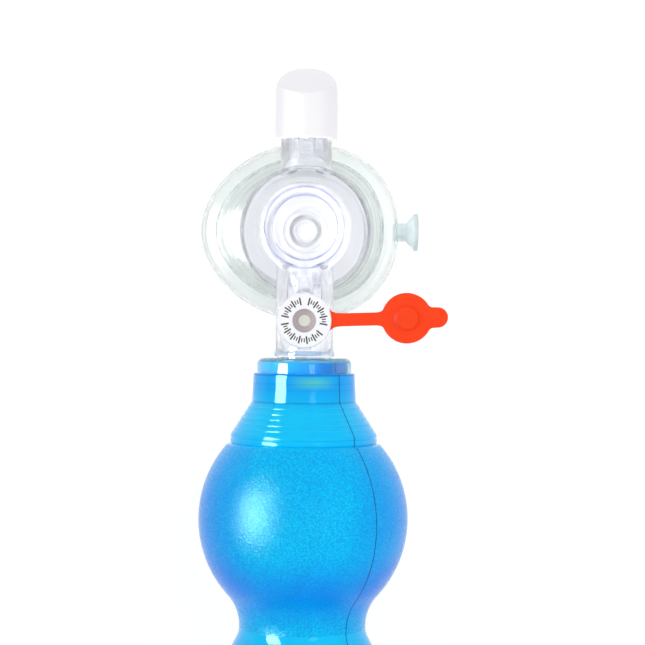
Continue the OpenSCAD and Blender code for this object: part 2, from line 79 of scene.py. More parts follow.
BAG_Z = centre_of("squeeze_bag").z
BAG_AXIS = Vector((0, 0, BAG_Z))
VALVE_AXIS = Vector((0, 0, 0))
RELIEF = centre_of("popoff_label")
FLOOR_Z = mask_low.z


# ---------- mesh helpers ----------

def new_object(name, mesh, body, replaced=(), materials=(), sharp_deg=35):
    """Links a mesh, shades it smooth up to an angle, and ties it to its body."""
    obj = bpy.data.objects.new(name, mesh)
    bpy.context.scene.collection.objects.link(obj)
    mesh.shade_smooth()
    mesh.set_sharp_from_angle(angle=math.radians(sharp_deg))
    for material in materials:
        mesh.materials.append(material)
    if replaced:
        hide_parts(*replaced)
    if body:
        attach(obj, body)
    return obj


def mesh_from(name, verts, faces):
    """A mesh with its normals turned outwards and doubled points merged."""
    mesh = bpy.data.meshes.new(name)
    mesh.from_pydata([tuple(v) for v in verts], [], faces)
    work = bmesh.new()
    work.from_mesh(mesh)
    bmesh.ops.remove_doubles(work, verts=work.verts, dist=1e-6)
    bmesh.ops.recalc_face_normals(work, faces=work.faces)
    work.to_mesh(mesh)
    work.free()
    return mesh


def arc_points(centre, radius, start_deg, end_deg, count):
    """Points of an arc in a profile plane."""
    out = []
    for i in range(count + 1):
        a = math.radians(start_deg + (end_deg - start_deg) * i / count)
        out.append((centre[0] + radius * math.cos(a), centre[1] + radius * math.sin(a)))
    return out


def rounded(points, closed=True, steps=5):
    """A polyline whose corners, given as (r, h, fillet), are replaced by arcs."""
    out = []
    n = len(points)
    for i, corner in enumerate(points):
        p = Vector(corner[:2])
        fillet = corner[2] if len(corner) > 2 else 0
        at_end = not closed and i in (0, n - 1)
        if fillet <= 0 or at_end:
            out.append((p.x, p.y))
            continue
        before = Vector(points[(i - 1) % n][:2]) - p
        after = Vector(points[(i + 1) % n][:2]) - p
        u, v = before.normalized(), after.normalized()
        angle = u.angle(v)
        if angle > math.radians(178):
            out.append((p.x, p.y))
            continue
        reach = min(fillet / math.tan(angle / 2), before.length * 0.49, after.length * 0.49)
        radius = reach * math.tan(angle / 2)
        middle = p + (u + v).normalized() * (radius / math.sin(angle / 2))
        a = p + u * reach - middle
        b = p + v * reach - middle
        turn = math.atan2(a.x * b.y - a.y * b.x, a.dot(b))
        for k in range(steps + 1):
            c, s = math.cos(turn * k / steps), math.sin(turn * k / steps)
            out.append((middle.x + a.x * c - a.y * s, middle.y + a.x * s + a.y * c))
    return out


def even_angles(count):
    """Angles of equal steps round a circle."""
    return [2 * math.pi * i / count for i in range(count)]


def lathe_mesh(name, profile, angles, place, scale=MM, shape=None):
    """Turns a closed profile of (r, h) round an axis. place maps local (x, y, h) to the frame,
    and shape, if given, moves a point (r, h) by angle."""
    verts = []
    faces = []
    n, m = len(angles), len(profile)
    for a in angles:
        for r, h in profile:
            if shape:
                r, h = shape(r, h, a)
            verts.append(place(Vector((r * math.cos(a), r * math.sin(a), h)) * scale))
    for i in range(n):
        for j in range(m):
            a, b = i * m + j, ((i + 1) % n) * m + j
            c, d = ((i + 1) % n) * m + (j + 1) % m, i * m + (j + 1) % m
            flat_pole = profile[j][0] < 1e-6 and profile[(j + 1) % m][0] < 1e-6
            if not flat_pole:
                faces.append((a, b, c, d))
    return mesh_from(name, verts, faces)


def upright(origin):
    """Local axes kept, moved to an origin."""
    return lambda v: v + origin


def along_y(origin):
    """Local z turned to +Y, and local x and y to +X and +Z."""
    return lambda v: Vector((v.x, v.z, v.y)) + origin


def along_x(origin):
    """Local z turned to +X, and local x and y to +Y and +Z."""
    return lambda v: Vector((v.z, v.x, v.y)) + origin


def ring_mesh(name, sections):
    """Skins closed sections, each a list of points, into a closed ring."""
    n, m = len(sections), len(sections[0])
    verts = [p for section in sections for p in section]
    faces = []
    for i in range(n):
        for j in range(m):
            faces.append((i * m + j, ((i + 1) % n) * m + j,
                          ((i + 1) % n) * m + (j + 1) % m, i * m + (j + 1) % m))
    return mesh_from(name, verts, faces)


def bake_modifiers(obj):
    """Replaces an object's mesh by its evaluated one."""
    graph = bpy.context.evaluated_depsgraph_get()
    mesh = bpy.data.meshes.new_from_object(obj.evaluated_get(graph))
    obj.modifiers.clear()
    old = obj.data
    obj.data = mesh
    bpy.data.meshes.remove(old)


def remeshed(name, source_mesh, voxel, passes):
    """One soft-edged skin round a mesh: voxel remesh, then smoothing."""
    mesh = source_mesh.copy()
    obj = bpy.data.objects.new(name + "_work", mesh)
    bpy.context.scene.collection.objects.link(obj)
    remesh = obj.modifiers.new("remesh", "REMESH")
    remesh.mode = "VOXEL"
    remesh.voxel_size = voxel
    remesh.use_smooth_shade = True
    smooth = obj.modifiers.new("smooth", "SMOOTH")
    smooth.factor = 0.5
    smooth.iterations = passes
    bake_modifiers(obj)
    result = obj.data
    result.name = name
    bpy.data.objects.remove(obj)
    return result


# ---------- material helpers ----------

class Finish:
    """A material with one Principled shader, and short calls for its nodes."""

    def __init__(self, name, colour=(1, 1, 1), roughness=0.4, **sockets):
        self.material = bpy.data.materials.new(name)
        self.material.use_nodes = True
        self.tree = self.material.node_tree
        self.tree.nodes.clear()
        self.out = self.tree.nodes.new("ShaderNodeOutputMaterial")
        self.shader = self.node("ShaderNodeBsdfPrincipled")
        self.tree.links.new(self.shader.outputs["BSDF"], self.out.inputs["Surface"])
        self.shader.inputs["Base Color"].default_value = (*colour, 1)
        self.shader.inputs["Roughness"].default_value = roughness
        for socket, value in sockets.items():
            self.shader.inputs[socket.replace("_", " ")].default_value = value
        self.coords = self.node("ShaderNodeTexCoord").outputs["Object"]

    def node(self, kind, inputs=(), **settings):
        """A new node with its inputs fed and its settings made."""
        made = self.tree.nodes.new(kind)
        for key, value in settings.items():
            setattr(made, key, value)
        for key, value in dict(inputs).items():
            self.feed(made.inputs[key], value)
        return made

    def feed(self, socket, value):
        """Links a socket to another, or sets it to a constant."""
        if isinstance(value, bpy.types.NodeSocket):
            self.tree.links.new(value, socket)
        else:
            socket.default_value = value

    def set(self, socket, value):
        """Feeds an input of the shader."""
        self.feed(self.shader.inputs[socket], value)

    def noise(self, size_mm, detail=3, rough=0.5, stretch=(1, 1, 1)):
        """Noise whose features are about size_mm across."""
        mapping = self.node("ShaderNodeMapping", {"Vector": self.coords, "Scale": stretch})
        made = self.node("ShaderNodeTexNoise", {
            "Vector": mapping.outputs[0], "Scale": 1 / (size_mm * MM),
            "Detail": detail, "Roughness": rough})
        return made.outputs[0]

    def spread(self, value, low, high, start=0.3, end=0.7):
        """A value from start to end, mapped to low to high."""
        made = self.node("ShaderNodeMapRange", {
            "Value": value, "From Min": start, "From Max": end, "To Min": low, "To Max": high})
        return made.outputs[0]

    def maths(self, operation, a, b=0.0, clamp=False):
        """One step of arithmetic."""
        made = self.node("ShaderNodeMath", {0: a, 1: b}, operation=operation, use_clamp=clamp)
        return made.outputs[0]

    def mix(self, share, first, second):
        """Mixes two colours."""
        made = self.node("ShaderNodeMix", data_type="RGBA")
        self.feed(made.inputs[0], share)
        for index, colour in ((6, first), (7, second)):
            value = colour if isinstance(colour, bpy.types.NodeSocket) else (*colour, 1)
            self.feed(made.inputs[index], value)
        return made.outputs[2]

    def axes(self):
        """The x, y and z of the object coordinates."""
        return self.node("ShaderNodeSeparateXYZ", {0: self.coords}).outputs

    def bump(self, height, depth_mm, strength=1.0):
        """Surface relief of a depth in mm."""
        made = self.node("ShaderNodeBump", {
            "Height": height, "Distance": depth_mm * MM, "Strength": strength})
        self.set("Normal", made.outputs[0])

    def pass_light(self, opacity, body=1.0):
        """Lets the lamps' light through to what is behind, as clear plastic does. body is
        how much of a thin wall bends what is seen through it."""
        shadow = self.node("ShaderNodeLightPath").outputs["Is Shadow Ray"]
        self.set("Alpha", self.spread(shadow, body, opacity, 0.0, 1.0))


# ---------- materials ----------

# Angle of the bag's moulding line from its top, towards +X
PARTING = math.radians(43)
# The bag's narrowest place between its lobes, in mm
WAIST_Y = -187.6
# Darker lines round the bag's neck: distance from its end and width in mm, and strength
NECK_LINES = ((5.6, 0.9, 0.7), (9.8, 0.5, 0.25), (12.6, 0.5, 0.2), (18.5, 0.8, 0.5))


def hill(made, value, centre, width):
    """1 at a place and 0 a width away from it, on either side."""
    off = made.maths("ABSOLUTE", made.maths("SUBTRACT", value, centre))
    return made.node("ShaderNodeMapRange", {
        "Value": off, "From Min": 0.0, "From Max": width, "To Min": 1.0, "To Max": 0.0},
        interpolation_type="SMOOTHSTEP").outputs[0]


def off_axis(made):
    """Distance from the valve's axis."""
    axes = made.axes()
    flat = made.node("ShaderNodeCombineXYZ", {0: axes["X"], 1: axes["Y"]})
    return made.node("ShaderNodeVectorMath", {0: flat.outputs[0]}, operation="LENGTH").outputs["Value"]


def clear_plastic(name, colour):
    """Glossy clear polycarbonate with a faint tint in depth."""
    made = Finish(name, colour, 0.02, IOR=1.48, Transmission_Weight=1.0)
    flow = made.noise(14, 3, 0.5)
    made.set("Roughness", made.spread(made.noise(2.5, 4), 0.012, 0.05))
    made.bump(flow, 0.06, 0.35)
    made.pass_light(0.06, 0.78)
    return made.material


def soft_vinyl():
    """Soft clear vinyl with a green tint, for the mask, darker towards its middle."""
    thin, thick = (0.75, 0.77, 0.76), (0.885, 0.92, 0.91)
    made = Finish("soft_vinyl", thick, 0.08, IOR=1.42, Transmission_Weight=1.0,
                  Specular_IOR_Level=0.05)
    # thin is the darker tint towards the mask's middle, thick the lighter one towards its rim
    outward = made.spread(off_axis(made), 0, 1, 27 * MM, 44 * MM)
    made.set("Base Color", made.mix(outward, thin, thick))
    made.set("Roughness", made.spread(made.noise(5, 4), 0.08, 0.18))
    made.bump(made.noise(14, 2), 0.05, 0.2)
    made.pass_light(0.08, 0.92)
    return made.material


def satin(name, colour, roughness=0.42, grain_mm=0.5, depth_mm=0.01, tint=0.03):
    """Satin moulded plastic: fine spark texture and a faint unevenness of colour."""
    made = Finish(name, colour, roughness, IOR=1.48)
    deeper = tuple(c * (1 - tint) for c in colour)
    made.set("Base Color", made.mix(made.spread(made.noise(16, 3), 0, 1), colour, deeper))
    made.set("Roughness", made.spread(made.noise(3, 4), roughness - 0.06, roughness + 0.08))
    made.bump(made.noise(grain_mm, 2), depth_mm, 0.6)
    return made.material


def silicone(name, colour, roughness, subsurface=0.2, depth_mm=0.02, gloss=0.16, rings=()):
    """Silicone rubber: soft light inside and slight bloom on the surface, with rings of painted shade
    round the valve's axis, given as (radius, width) in mm."""
    made = Finish(name, colour, roughness, IOR=1.35, Subsurface_Weight=subsurface,
                  Subsurface_Scale=0.002, Specular_IOR_Level=gloss)
    made.shader.inputs["Subsurface Radius"].default_value = (1.0, 0.7, 0.5)
    deeper = tuple(c * 0.94 for c in colour)
    tone = made.mix(made.spread(made.noise(9, 4), 0, 1), colour, deeper)
    # Painted shade: darker rings round the axis, for the shade between the ribs
    for radius, width in rings:
        shade = hill(made, off_axis(made), radius * MM, width * MM)
        tone = made.mix(made.maths("MULTIPLY", shade, 0.5), tone, tuple(c * 0.6 for c in colour))
    made.set("Base Color", tone)
    made.set("Roughness", made.spread(made.noise(1.6, 3), roughness - 0.05, roughness + 0.07))
    made.bump(made.noise(0.8, 3), depth_mm, 0.5)
    return made.material


def milky_plastic():
    """Cloudy plastic of the inflation valve."""
    made = Finish("milky_plastic", (0.62, 0.70, 0.69), 0.22, IOR=1.45,
                  Transmission_Weight=0.25, Specular_IOR_Level=0.3)
    made.pass_light(0.3)
    made.bump(made.noise(3, 3), 0.03, 0.4)
    return made.material


def parting_line(made):
    """1 on the two moulding lines along the bag, 0 elsewhere."""
    axes = made.axes()
    up = made.maths("SUBTRACT", axes["Z"], BAG_Z)
    across = made.maths("MULTIPLY", axes["X"], math.cos(PARTING))
    rise = made.maths("MULTIPLY", up, math.sin(PARTING))
    off = made.maths("ABSOLUTE", made.maths("SUBTRACT", across, rise))
    return made.node("ShaderNodeMapRange", {
        "Value": off, "From Min": 0.12 * MM, "From Max": 0.42 * MM,
        "To Min": 1.0, "To Max": 0.0}).outputs[0]


def bag_painted_shade(made):
    """Painted shade of the blue: 0 where light comes through freely, 1 where the wall is shaded, darker towards
    the flanks, on both sides of the waist and at the neck, with a random cloudiness of tone.
    """
    axes = made.axes()
    flank_shade = made.spread(made.maths("ABSOLUTE", axes["X"]), 0, 0.8, 20 * MM, 48 * MM)
    low_front_shade = hill(made, axes["Y"], (WAIST_Y + 19) * MM, 22 * MM)
    low_rear_shade = hill(made, axes["Y"], (WAIST_Y - 24) * MM, 16 * MM)
    # Painted shade at the neck
    neck = made.maths("MULTIPLY", hill(made, axes["Y"], bag_high.y - 9 * MM, 16 * MM), 0.6)
    cloudy = made.spread(made.noise(30, 3), -0.12, 0.12)
    total = made.maths("ADD", flank_shade, made.maths("MULTIPLY", low_front_shade, 0.75))
    total = made.maths("ADD", total, made.maths("MULTIPLY", low_rear_shade, 0.4))
    total = made.maths("ADD", total, neck)
    return made.maths("ADD", total, cloudy, clamp=True)


def lug_tint(made):
    """1 where the connector's lug shows through the collar."""
    axes = made.axes()
    up = made.maths("SUBTRACT", axes["Z"], BAG_Z)
    angle = made.maths("ARCTAN2", axes["X"], up)
    across = hill(made, angle, math.radians(11.5), math.radians(34))
    along = hill(made, axes["Y"], bag_high.y - 9 * MM, 4.2 * MM)
    return made.maths("MULTIPLY", across, along)


def bag_material(name, grain):
    """Blue translucent bag: grained on the lobes, glossy at the necks and the waist."""
    bright = (0.001, 0.71, 1.0) if grain else (0.001, 0.55, 0.93)
    shaded_blue = (0.001, 0.25, 0.86)
    made = Finish(name, bright, 0.3, IOR=1.45 if grain else 1.5, Subsurface_Weight=0.1,
                  Subsurface_Scale=0.004, Specular_IOR_Level=0.26 if grain else 0.34)
    made.shader.inputs["Specular Tint"].default_value = (0.42, 1.0, 0.85, 1)
    made.shader.inputs["Subsurface Radius"].default_value = (0.1, 0.6, 1.0)
    # Painted shade: the blue darkens towards the flanks, on both sides of the waist and at the neck
    tone = made.mix(bag_painted_shade(made), bright, shaded_blue)
    if grain:
        cells = made.node("ShaderNodeTexVoronoi", {
            "Vector": made.coords, "Scale": 1 / (0.9 * MM)}, feature="F1")
        height = made.maths("ADD", cells.outputs[0], made.noise(0.7, 2))
        made.bump(height, 0.15, 0.8)
        made.set("Roughness", made.spread(made.noise(0.9, 2), 0.05, 0.28, 0.42, 0.6))
        speck = made.spread(height, 0.0, 0.6, 0.5, 1.15)
        tone = made.mix(speck, tone, (0.001, 0.20, 0.74))
    else:
        tone = made.mix(made.maths("MULTIPLY", lug_tint(made), 0.8), tone, (0.10, 0.58, 0.52))
        made.bump(made.noise(12, 3), 0.06, 0.3)
        made.set("Roughness", made.spread(made.noise(4, 4), 0.04, 0.10))
        # Darker rings round the neck, as listed in NECK_LINES
        neck_darkening = 0.0
        for inward, width, share in NECK_LINES:
            at = hill(made, made.axes()["Y"], bag_high.y - inward * MM, width * MM)
            neck_darkening = made.maths("ADD", made.maths("MULTIPLY", at, share), neck_darkening)
        tone = made.mix(neck_darkening, tone, (0.002, 0.12, 0.55))
    line = made.maths("MULTIPLY", parting_line(made), 0.85)
    made.set("Base Color", made.mix(line, tone, (0.003, 0.05, 0.28)))
    return made.material


def steel():
    """Drawn spring wire."""
    made = Finish("spring_steel", (0.72, 0.73, 0.75), 0.28, Metallic=1.0)
    made.set("Roughness", made.spread(made.noise(0.6, 3), 0.2, 0.36))
    return made.material


CLEAR = clear_plastic("clear_plastic", (0.93, 0.935, 0.975))
# The dome's beads: the clear plastic tinted darker lavender, painted shade along the rings
SHADED_BEAD_CLEAR = clear_plastic("clear_plastic_bead_shaded", (0.50, 0.53, 0.80))
CAGE_CLEAR = clear_plastic("clear_plastic_cage", (0.995, 0.995, 1.0))
NECK_CLEAR = clear_plastic("clear_plastic_over_blue", (0.10, 0.50, 0.74))
VINYL = soft_vinyl()
WHITE = satin("white_satin", (0.92, 0.92, 0.91))
HOOD_WHITE = satin("hood_white", (0.895, 0.885, 0.875), 0.5, 0.45, 0.012, 0.02)
LABEL_WHITE = satin("label_white", (0.93, 0.93, 0.935), 0.35, 0.3, 0.004)
PRINT_BLACK = satin("print_black", (0.02, 0.02, 0.022), 0.4, 0.3, 0.004)
PLUNGER = satin("plunger_ivory", (0.74, 0.73, 0.64), 0.4)
RETAINER = satin("retainer_mauve", (0.52, 0.45, 0.48), 0.42)
CREAM = satin("connector_cream", (0.80, 0.80, 0.58), 0.4)
MILKY = milky_plastic()
ORANGE = silicone("orange_silicone", (0.97, 0.060, 0.008), 0.42)
# The lip valve's silicone: a darker, shaded copy of the valve silicone, with rings of painted shade between its
# ribs
SHADED_LIP_SILICONE = silicone("lip_silicone_shaded", (0.53, 0.538, 0.535), 0.3, 0.0, 0.004, 0.02,
                        rings=((10.9, 0.5), (9.6, 0.4), (7.8, 0.5), (5.0, 0.5)))
PALE_SILICONE = silicone("valve_silicone", (0.84, 0.845, 0.84), 0.3, 0.0, 0.004)
RUBBER = satin("black_rubber", (0.02, 0.02, 0.022), 0.45, 0.6, 0.01)
STEEL = steel()
BAG_GRAIN = bag_material("bag_grain", True)
BAG_GLOSS = bag_material("bag_gloss", False)

SLOT_MATERIALS = {
    "clear_housing": CLEAR, "white_plastic": WHITE, "hood_plastic": HOOD_WHITE,
    "label_plastic": LABEL_WHITE, "plunger_plastic": PLUNGER, "retainer_plastic": RETAINER,
    "cream_plastic": CREAM, "inflation_plastic": MILKY, "blue_bag": BAG_GRAIN,
    "mask_vinyl": VINYL, "orange_silicone": ORANGE, "valve_silicone": PALE_SILICONE,
    "black_rubber": RUBBER, "spring_steel": STEEL}

# The blue collar shows through the neck's ring, and the valve's neck is milky like its bell
NODE_MATERIALS = {
    "exhaust_cage": CAGE_CLEAR, "neck_ring": NECK_CLEAR, "inflation_neck": MILKY}
WELD_MM = 0.003
CLEAR_GAP_MM = 0.02


def finish_cad_nodes():
    """Gives every CAD node its material, and clear ones a hair's gap, which keeps faces that
    touch from lying on each other."""
    for part in frame["record"]["subparts"]:
        node = NODES[part["node"]]
        node.data.materials.clear()
        node.data.materials.append(NODE_MATERIALS.get(
            part["node"], SLOT_MATERIALS[part["material_slot"]]))
        weld = node.modifiers.new("weld", "WELD")
        weld.merge_threshold = WELD_MM * MM
        if part["material_slot"] == "clear_housing":
            shrink = node.modifiers.new("gap", "DISPLACE")
            shrink.direction = "NORMAL"
            shrink.mid_level = 0
            shrink.strength = -CLEAR_GAP_MM * MM


finish_cad_nodes()


# ---------- squeeze bag ----------

# Radii of the bag's outline, in mm
BAG_WALL = 2.2
LOBE_R = 49.5
WAIST_R = 29.9
REAR_LOBE_R = 47.0
BORE_R = 19.05
LIP_R = 20.6
COLLAR_START_R = 23.9
CONE_R = 24.6
RIDGE_R = 34.35
# Radii of the arcs between them, and the turn in degrees where one arc meets the next
LOBE_ARC = 53.0
WAIST_ARC = 22.1
FLARE_ARC = 11.5
REAR_ARC = 37.4
LOBE_TURN = 42.36
FLARE_TURN = 26.6
# Centres of the lobes along the bag, in mm
LOBE_Y = -137.0
REAR_Y = -229.5
# Distances from either end of the bag, in mm: the collar, the cone, the grain and the bend
COLLAR_START = 5.0
CONE_START = 18.5
GRAIN_START = 38.6
# Rings down the cone: how many, and the cone's rise and length over them, in mm
CONE_RINGS = 5
CONE_RISE = 9.7
CONE_LEN = 15.1
# Glossy band of the waist, from its middle to the grain in front of it and behind it, in mm
GLOSS_FRONT = 0.6
GLOSS_REAR = 11.5


def lobes(inset, first, rear_first, rear_last):
    """Arcs of the bag's two lobes and its waist, as (r, y)."""
    front_c = (LOBE_R - LOBE_ARC, LOBE_Y)
    waist_c = (WAIST_R + WAIST_ARC, WAIST_Y)
    flare_c = (WAIST_R + FLARE_ARC, WAIST_Y)
    rear_c = (REAR_LOBE_R - REAR_ARC, REAR_Y)
    return (arc_points(front_c, LOBE_ARC - inset, first, -LOBE_TURN, 72)
            + arc_points(waist_c, WAIST_ARC + inset, 180 - LOBE_TURN, 180, 20)[1:]
            + arc_points(flare_c, FLARE_ARC + inset, 180, 180 + FLARE_TURN, 10)[1:]
            + arc_points(rear_c, REAR_ARC - inset, rear_first, rear_last, 56)[1:])


def cone_rings(start, way):
    """Fine moulded rings down a neck's cone, as (r, y, fillet)."""
    out = []
    for i in range(1, CONE_RINGS + 1):
        r = CONE_R + CONE_RISE * i / (CONE_RINGS + 1)
        y = start + way * (CONE_START + CONE_LEN * i / (CONE_RINGS + 1))
        out += [(r - 0.32, y - way * 0.5, 0.4), (r + 0.16, y - way * 0.1, 0.3),
                (r + 0.3, y + way * 0.5, 0.4)]
    return out


def ridge_beads(start, way):
    """The two rounded beads that end a neck, as (r, y, fillet)."""
    points = [(0, 33.5, 0.7), (0.4, 34.9, 0.4), (-0.05, 35.5, 0.3), (0.4, 36.1, 0.4),
              (0.35, 37.4, 0.5), (0.05, 38.2, 0)]
    return [(RIDGE_R + rise, start + way * inward, fillet) for rise, inward, fillet in points]


def neck_outline(start, way):
    """A neck's end, lip and collar, as (r, y, fillet)."""
    collar = start + way * COLLAR_START
    return [(BORE_R, start, 0), (LIP_R, start, 0.4), (LIP_R, collar, 0.2),
            (COLLAR_START_R, collar, 0.8), (CONE_R, start + way * CONE_START, 0.5)]


def bag_profile():
    """The closed outline of the bag's wall, with moulded steps and rounded rims."""
    front = bag_high.y / MM
    rear = bag_low.y / MM
    outer_front = rounded(
        neck_outline(front, -1) + cone_rings(front, -1) + ridge_beads(front, -1), closed=False)
    outer_rear = rounded(
        (neck_outline(rear, 1) + cone_rings(rear, 1) + ridge_beads(rear, 1))[::-1], closed=False)
    inner_rear = [(BORE_R, rear + 4.2), (22, rear + 6.4), (22.4, rear + 17.9), (32.3, rear + 34)]
    inner_front = [(32.3, front - 38.4), (32.3, front - 33.6), (22.4, front - 18),
                   (22, front - 6.4), (BORE_R, front - 4.2)]
    outer = outer_front + lobes(0, 41.4, 44.7, -46.0) + outer_rear
    inner = lobes(BAG_WALL, 39.6, 42, -43.8)
    inner.reverse()
    return outer + inner_rear + inner + inner_front


MOULD_LINES = (math.pi / 2 - PARTING, 1.5 * math.pi - PARTING)


def bag_angles():
    """Even steps round the bag, with finer ones at the two moulding lines."""
    angles = set(even_angles(160))
    fine = (-0.02, -0.008, -0.003, 0, 0.003, 0.008, 0.02)
    for line in MOULD_LINES:
        angles = {a for a in angles if abs(math.remainder(a - line, 2 * math.pi)) > 0.024}
        angles |= {(line + step) % (2 * math.pi) for step in fine}
    return sorted(angles)


def bag_groove(r, h, a):
    """A fine groove along the two moulding lines."""
    for line in MOULD_LINES:
        off = abs(math.remainder(a - line, 2 * math.pi))
        if off < 0.002:
            return r - 0.22, h
        if off < 0.004:
            return r - 0.1, h
    return r, h


def build_bag():
    """The bag's shell, glossy at its necks and waist."""
    mesh = lathe_mesh("bag_shell", bag_profile(), bag_angles(), along_y(BAG_AXIS), MM, bag_groove)
    bag = new_object("bag_shell", mesh, None, ["squeeze_bag"],
                     [BAG_GLOSS, BAG_GRAIN], 40)
    grain_start = bag_high.y - GRAIN_START * MM
    grain_end = (WAIST_Y - GLOSS_FRONT) * MM
    rear_start = (WAIST_Y - GLOSS_REAR) * MM
    rear_end = bag_low.y + GRAIN_START * MM
    for face in mesh.polygons:
        y = face.center.y
        grained = grain_end < y < grain_start or rear_end < y < rear_start
        face.material_index = 1 if grained else 0
    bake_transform(bag)


build_bag()


# ---------- mask ----------

# Section of the air cushion, how far the mask's middle lies from the valve's axis towards
# the exhaust, the dome's wall at its foot and in height, and its overlap with the cushion,
# in mm
CUSHION_W = 17.0
CUSHION_H = 24.0
CUSHION_WALL = 1.4
MASK_LEAN = 2.3
DOME_FOOT_WALL = 1.6
DOME_WALL = 1.9
DOME_OVERLAP = 0.6
# The dome's height at its foot and over it in mm, and its steps: place from 0 at the collar
# to 1 at the foot, and height in mm
DOME_FOOT_Z = -4.6
DOME_RISE = 10
DOME_STEPS = ((0.42, 0.5), (0.62, 0.5), (0.8, 0.6))
STEP_SHARPNESS = 55
# Crease round the top of the cushion: place across it, width and depth in mm
CREASE_U = 3.0
CREASE_W = 1.2
CREASE_DEPTH = 0.9
# The cushion's section is a squared circle, cut flat a little above its lowest point
CUSHION_SQUARENESS = 0.85
CUSHION_FLAT = 0.96
# How much farther than its half width the mask reaches at its ends and shoulders, in mm
END_REACH = 2
SHOULDER_REACH = 1.3
MASK_ANGLES = even_angles(320)
MASK_HALF_W = (mask_high.y - mask_low.y) / 2 / MM
NOSE_REACH = (mask_high.x - mask_low.x) / MM - 2 * (MASK_HALF_W + END_REACH)
COLLAR_R = collar_high.x / MM
CUSHION_MID_Z = mask_low.z / MM + CUSHION_H / 2


def mask_radius(a):
    """Plan radius of the mask at an angle from the chin."""
    return (MASK_HALF_W + END_REACH * math.cos(a) ** 2 + SHOULDER_REACH * math.sin(2 * a) ** 2
            + NOSE_REACH * max(0.0, -math.cos(a)) ** 6)


def signed_power(v, p):
    """A power that keeps its sign."""
    return math.copysign(abs(v) ** p, v)


def dome_height(t):
    """Height of the mask's dome: a quarter ellipse with three shallow moulded steps."""
    z = DOME_FOOT_Z + DOME_RISE * math.cos(t * math.pi / 2)
    for place, step in DOME_STEPS:
        z += step * 0.5 * (math.tanh((t - place) * STEP_SHARPNESS) - (2 * t - 1))
    return z


def dome_section(a):
    """One section of the dome's wall, from the collar out over the cushion and back."""
    rim_r = mask_radius(a) - CUSHION_W / 2 + DOME_OVERLAP
    steps = 60
    upper, lower = [], []
    for i in range(steps + 1):
        t = i / steps
        out = math.sin(t * math.pi / 2)
        r = COLLAR_R + (rim_r - COLLAR_R) * out
        lean = MASK_LEAN * out
        z = dome_height(t)
        upper.append(Vector((r * math.cos(a), lean + r * math.sin(a), z)) * MM)
        inner_r = COLLAR_R + (rim_r - DOME_FOOT_WALL - COLLAR_R) * out
        inner = (inner_r * math.cos(a), lean + inner_r * math.sin(a), z - DOME_WALL)
        lower.append(Vector(inner) * MM)
    return upper + lower[::-1]


def cushion_section(a, skin, count):
    """One section of the air cushion, flat where it meets the face and creased on top."""
    mid_r = mask_radius(a) - CUSHION_W / 2
    half_w = CUSHION_W / 2 - skin
    half_h = CUSHION_H / 2 - skin
    points = []
    for j in range(count):
        b = 2 * math.pi * (j + 0.5) / count
        u = half_w * signed_power(math.cos(b), CUSHION_SQUARENESS)
        v = half_h * signed_power(math.sin(b), CUSHION_SQUARENESS)
        v = max(v, -half_h * CUSHION_FLAT) / (CUSHION_FLAT if v < 0 else 1)
        v -= CREASE_DEPTH * math.exp(-((u - CREASE_U) / CREASE_W) ** 2) * (1 if v > 0 else 0)
        r = mid_r + u
        place = (r * math.cos(a), MASK_LEAN + r * math.sin(a), CUSHION_MID_Z + v)
        points.append(Vector(place) * MM)
    return points


def build_mask():
    """The dome's shell, and the cushion with its air space."""
    new_object("mask_shell", ring_mesh("mask_shell", [dome_section(a) for a in MASK_ANGLES]),
               "mask", ["mask_dome"], [VINYL])
    outer = ring_mesh("cushion_outer", [cushion_section(a, 0, 64) for a in MASK_ANGLES])
    inner = ring_mesh("cushion_inner", [cushion_section(a, CUSHION_WALL, 48) for a in MASK_ANGLES])
    inner.flip_normals()
    work = bmesh.new()
    work.from_mesh(outer)
    work.from_mesh(inner)
    joined = bpy.data.meshes.new("air_cushion")
    work.to_mesh(joined)
    work.free()
    new_object("air_cushion", joined, "mask", ["mask_cushion"], [VINYL])


build_mask()


# ---------- inflation valve ----------

def build_inflation_bell():
    """Flared fitting with a rim band and a short tube standing inside its flare."""
    start = bell_low.x / MM
    end = bell_high.x / MM
    profile = rounded([
        (1.2, start, 0), (2.95, start, 0.2), (2.95, start + 4.7, 0.2), (5.4, start + 4.8, 0.4),
        (8.6, end - 2.6, 0.3), (9.6, end - 2.2, 0.3), (9.6, end, 0.35), (8.4, end, 0.3),
        (7.2, end - 1.6, 0.4), (4.4, end - 3.6, 0.3), (3.4, end - 3.4, 0.2), (3.4, end - 0.2, 0.3),
        (2.1, end - 0.2, 0.1), (2.1, end - 4.7, 0), (1.6, end - 4.7, 0), (1.6, start + 1.1, 0),
        (1.2, start + 1.1, 0)], steps=4)
    origin = Vector((0, centre_of("inflation_bell").y, centre_of("inflation_bell").z))
    mesh = lathe_mesh("inflation_flare", profile, even_angles(72), along_x(origin))
    new_object("inflation_flare", mesh, "mask", ["inflation_bell"], [MILKY])


build_inflation_bell()


# ---------- lip valve ----------

